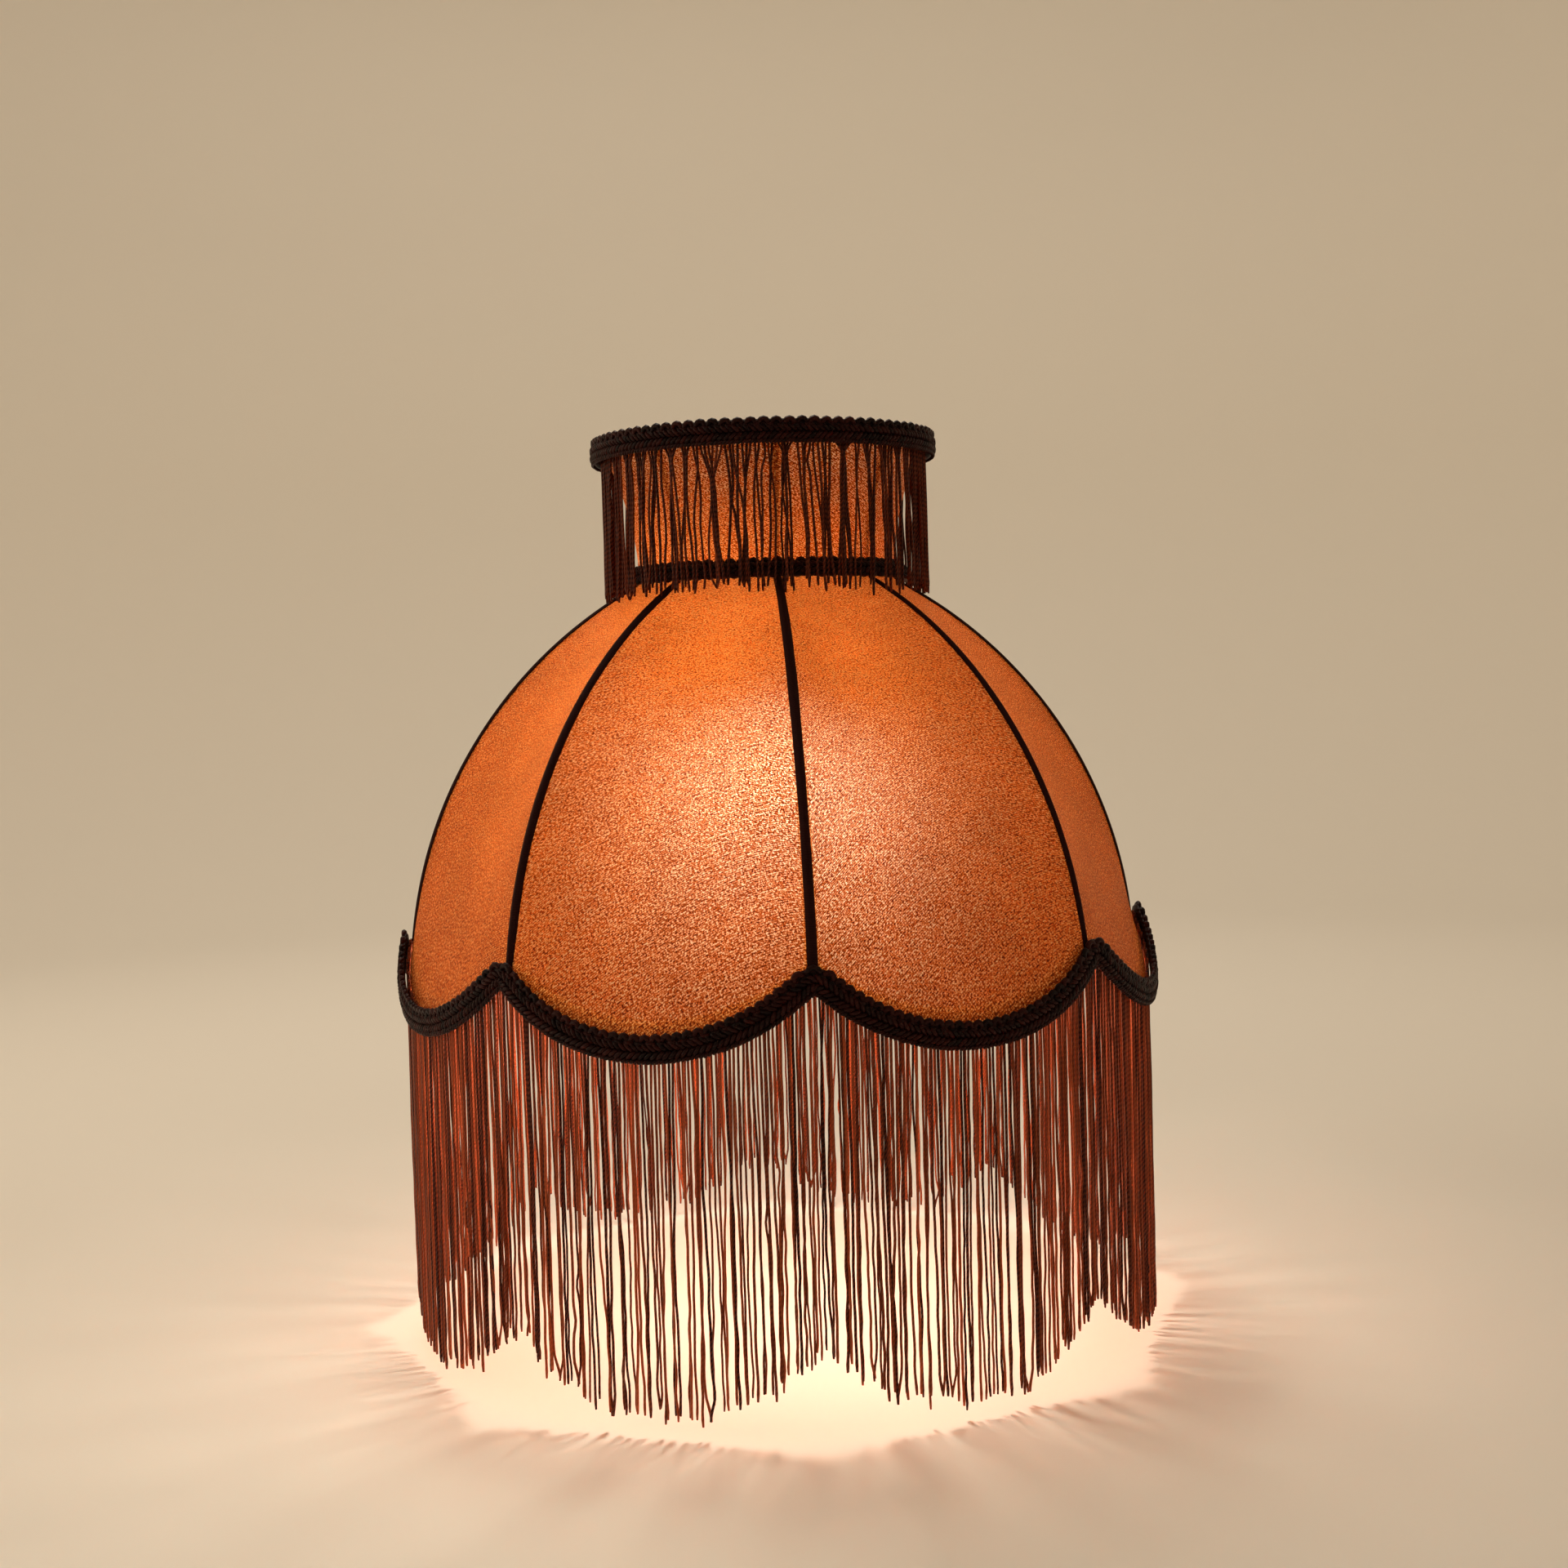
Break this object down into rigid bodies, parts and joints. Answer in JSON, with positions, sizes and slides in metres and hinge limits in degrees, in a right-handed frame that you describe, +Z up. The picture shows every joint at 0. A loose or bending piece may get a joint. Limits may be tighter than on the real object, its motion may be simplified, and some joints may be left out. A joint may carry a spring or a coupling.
{
  "type": "lamp shade",
  "caption": "Fringed dome lamp shade with stretched fabric panels on a ribbed wire frame, a flared collar and a scalloped rim with long fringe.",
  "frame": {"origin": "centre of the spider washer's hole, midway through the washer", "axes": "+Z up along the shade's axis, out of its top; -Y towards rib 1, the front of the shade"},
  "size_m": [0.394, 0.394, 0.4478],
  "materials": {
    "plated_steel": "brass plated, satin",
    "frame_wire": "off-white dip coat, satin",
    "shade_fabric": "rust-orange slubbed weave with a silky glint, translucent",
    "rib_tape": "narrow dark brown tape, matt",
    "braid": "dark brown rayon braid with a soft sheen",
    "fringe": "dark brown twisted rayon strands with a soft sheen"
  },
  "bodies": {
    "root": {"spider_washer": "plated_steel", "spider_arm_1": "plated_steel", "spider_arm_2": "plated_steel", "spider_arm_3": "plated_steel", "spider_arm_4": "plated_steel", "top_ring": "frame_wire", "waist_ring": "frame_wire", "collar_strut_1": "frame_wire", "collar_strut_2": "frame_wire", "collar_strut_3": "frame_wire", "collar_strut_4": "frame_wire", "collar_strut_5": "frame_wire", "collar_strut_6": "frame_wire", "collar_strut_7": "frame_wire", "collar_strut_8": "frame_wire", "rib_1": "frame_wire", "rib_2": "frame_wire", "rib_3": "frame_wire", "rib_4": "frame_wire", "rib_5": "frame_wire", "rib_6": "frame_wire", "rib_7": "frame_wire", "rib_8": "frame_wire", "rim_wire_1": "frame_wire", "rim_wire_2": "frame_wire", "rim_wire_3": "frame_wire", "rim_wire_4": "frame_wire", "rim_wire_5": "frame_wire", "rim_wire_6": "frame_wire", "rim_wire_7": "frame_wire", "rim_wire_8": "frame_wire", "dome_panel_1": "shade_fabric", "dome_panel_2": "shade_fabric", "dome_panel_3": "shade_fabric", "dome_panel_4": "shade_fabric", "dome_panel_5": "shade_fabric", "dome_panel_6": "shade_fabric", "dome_panel_7": "shade_fabric", "dome_panel_8": "shade_fabric", "collar_band": "shade_fabric", "rib_tape_1": "rib_tape", "rib_tape_2": "rib_tape", "rib_tape_3": "rib_tape", "rib_tape_4": "rib_tape", "rib_tape_5": "rib_tape", "rib_tape_6": "rib_tape", "rib_tape_7": "rib_tape", "rib_tape_8": "rib_tape", "top_braid": "braid", "waist_gimp": "braid", "rim_braid": "braid", "short_fringe": "fringe", "long_fringe": "fringe"}
  },
  "joints": []
}
